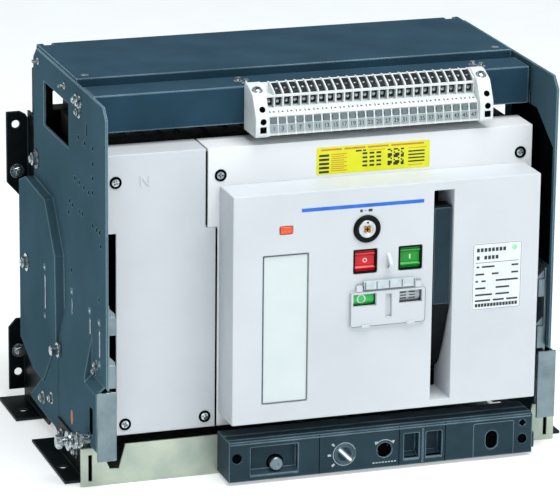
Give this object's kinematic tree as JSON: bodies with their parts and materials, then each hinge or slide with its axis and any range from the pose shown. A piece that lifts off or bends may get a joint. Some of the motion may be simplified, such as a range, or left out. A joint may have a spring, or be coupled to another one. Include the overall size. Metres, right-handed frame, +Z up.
{
  "type": "air circuit breaker",
  "caption": "Draw-out four-pole air circuit breaker in its cradle, with racking drive, charging handle, on and off buttons, key lock, padlock flap and rear main terminals.",
  "frame": {"origin": "floor plane, midway between the side plates, below the front face of the pole covers", "axes": "+Z up, +X to the right seen from the front, -Y out of the front towards the operator"},
  "size_m": [0.594, 0.421, 0.432],
  "materials": {
    "painted_steel": "satin blue-grey powder coat",
    "zinc_plated_steel": "yellow-passivated zinc",
    "black_steel": "black coat",
    "bright_steel": "bright zinc plate",
    "dark_moulding": "satin dark grey",
    "cover_moulding": "satin off-white",
    "thermoset_moulding": "matt brown thermoset",
    "plated_copper": "copper with thin tin plate",
    "terminal_moulding": "light grey",
    "red_moulding": "gloss red",
    "green_moulding": "gloss green",
    "orange_moulding": "gloss orange",
    "lime_moulding": "bright green"
  },
  "bodies": {
    "cradle": {"side_plate_left": "painted_steel", "side_plate_right": "painted_steel", "top_cover": "painted_steel", "crossbar": "painted_steel", "base_tray": "zinc_plated_steel", "racking_bezel": "dark_moulding", "rear_board": "thermoset_moulding", "upper_terminal_1": "plated_copper", "lower_terminal_1": "plated_copper", "upper_terminal_2": "plated_copper", "lower_terminal_2": "plated_copper", "upper_terminal_3": "plated_copper", "lower_terminal_3": "plated_copper", "upper_terminal_4": "plated_copper", "lower_terminal_4": "plated_copper", "foot_front_left": "black_steel", "foot_front_right": "black_steel", "bracket_rear_lower_left": "black_steel", "bracket_rear_lower_right": "black_steel", "bracket_rear_upper_left": "black_steel", "bracket_rear_upper_right": "black_steel", "terminal_block": "terminal_moulding", "interlock_stub": "bright_steel"},
    "guide_rails": {"guide_rail_left": "bright_steel", "guide_rail_right": "bright_steel", "side_bracket_left": "bright_steel", "side_bracket_right": "bright_steel"},
    "breaker": {"pole_housing": "thermoset_moulding", "upper_contact_1": "plated_copper", "lower_contact_1": "plated_copper", "arc_chute_1": "thermoset_moulding", "upper_contact_2": "plated_copper", "lower_contact_2": "plated_copper", "arc_chute_2": "thermoset_moulding", "upper_contact_3": "plated_copper", "lower_contact_3": "plated_copper", "arc_chute_3": "thermoset_moulding", "upper_contact_4": "plated_copper", "lower_contact_4": "plated_copper", "arc_chute_4": "thermoset_moulding", "neutral_cover": "cover_moulding", "main_cover": "cover_moulding", "facade": "cover_moulding", "trip_unit": "cover_moulding", "mechanism_frame": "painted_steel", "lock_ring": "dark_moulding", "flap_bracket": "cover_moulding"},
    "racking_screw": {"racking_screw": "bright_steel"},
    "racking_shaft": {"racking_shaft": "bright_steel"},
    "position_dial": {"position_dial": "dark_moulding"},
    "release_plunger": {"release_plunger": "bright_steel"},
    "main_shaft": {"main_shaft": "thermoset_moulding"},
    "charging_handle": {"charging_handle": "dark_moulding"},
    "off_button": {"off_button": "red_moulding"},
    "on_button": {"on_button": "green_moulding"},
    "reset_button": {"reset_button": "orange_moulding"},
    "key_barrel": {"key_barrel": "bright_steel"},
    "lock_flap": {"lock_flap": "cover_moulding"},
    "contact_indicator": {"contact_indicator": "lime_moulding"},
    "charge_indicator": {"charge_indicator": "cover_moulding"}
  },
  "joints": [
    {"name": "rail_pull", "type": "slide", "parent": "cradle", "child": "guide_rails", "axis": [0, -1, 0], "range_m": [0, 0.3]},
    {"name": "breaker_racking", "type": "slide", "parent": "guide_rails", "child": "breaker", "axis": [0, -1, 0], "range_m": [0, 0.068]},
    {"name": "racking_screw_turn", "type": "hinge", "parent": "cradle", "child": "racking_screw", "pos_m": [0.0578, 0, 0.024], "axis": [0, -1, 0], "range_deg": [0, 3600]},
    {"name": "position_dial_turn", "type": "hinge", "parent": "cradle", "child": "position_dial", "pos_m": [0.011, 0, 0.024], "axis": [0, -1, 0], "range_deg": [0, 90]},
    {"name": "racking_shaft_turn", "type": "hinge", "parent": "cradle", "child": "racking_shaft", "pos_m": [0, 0.15, 0.024], "axis": [1, 0, 0], "range_deg": [0, 60]},
    {"name": "plunger_press", "type": "slide", "parent": "cradle", "child": "release_plunger", "axis": [0, 1, 0], "range_m": [0, 0.006], "stiffness_N_per_m": 800, "springref_m": -0.003},
    {"name": "contact_close", "type": "hinge", "parent": "breaker", "child": "main_shaft", "pos_m": [0, 0.1, 0.15], "axis": [-1, 0, 0], "range_deg": [0, 11.5], "stiffness_Nm_per_rad": 20, "springref_deg": -11.46},
    {"name": "contact_flag_turn", "type": "hinge", "parent": "breaker", "child": "contact_indicator", "pos_m": [0.03075, -0.0365, 0.2], "axis": [1, 0, 0], "range_deg": [0, 60]},
    {"name": "charge_flag_turn", "type": "hinge", "parent": "breaker", "child": "charge_indicator", "pos_m": [0.08375, -0.0365, 0.2], "axis": [1, 0, 0], "range_deg": [0, 60]},
    {"name": "handle_pump", "type": "hinge", "parent": "breaker", "child": "charging_handle", "pos_m": [0.1215, 0.008, 0.128], "axis": [1, 0, 0], "range_deg": [0, 75], "stiffness_Nm_per_rad": 1, "springref_deg": -22.92},
    {"name": "off_press", "type": "slide", "parent": "breaker", "child": "off_button", "axis": [0, 1, 0], "range_m": [0, 0.004], "stiffness_N_per_m": 600, "springref_m": -0.002},
    {"name": "on_press", "type": "slide", "parent": "breaker", "child": "on_button", "axis": [0, 1, 0], "range_m": [0, 0.004], "stiffness_N_per_m": 600, "springref_m": -0.002},
    {"name": "reset_press", "type": "slide", "parent": "breaker", "child": "reset_button", "axis": [0, 1, 0], "range_m": [0, 0.003], "stiffness_N_per_m": 600, "springref_m": -0.002},
    {"name": "key_turn", "type": "hinge", "parent": "breaker", "child": "key_barrel", "pos_m": [0.0325, -0.05, 0.2803], "axis": [0, 1, 0], "range_deg": [0, 90]},
    {"name": "flap_lift", "type": "hinge", "parent": "breaker", "child": "lock_flap", "pos_m": [0.0575, -0.0518, 0.217], "axis": [-1, 0, 0], "range_deg": [0, 176]}
  ],
  "couplings": [
    {"joint": "racking_screw_turn", "follows": "breaker_racking", "rad_per_m": 923.99},
    {"joint": "position_dial_turn", "follows": "breaker_racking", "rad_per_m": 23.098},
    {"joint": "racking_shaft_turn", "follows": "breaker_racking", "rad_per_m": 15.398},
    {"joint": "contact_flag_turn", "follows": "contact_close", "ratio": 5.2169}
  ]
}
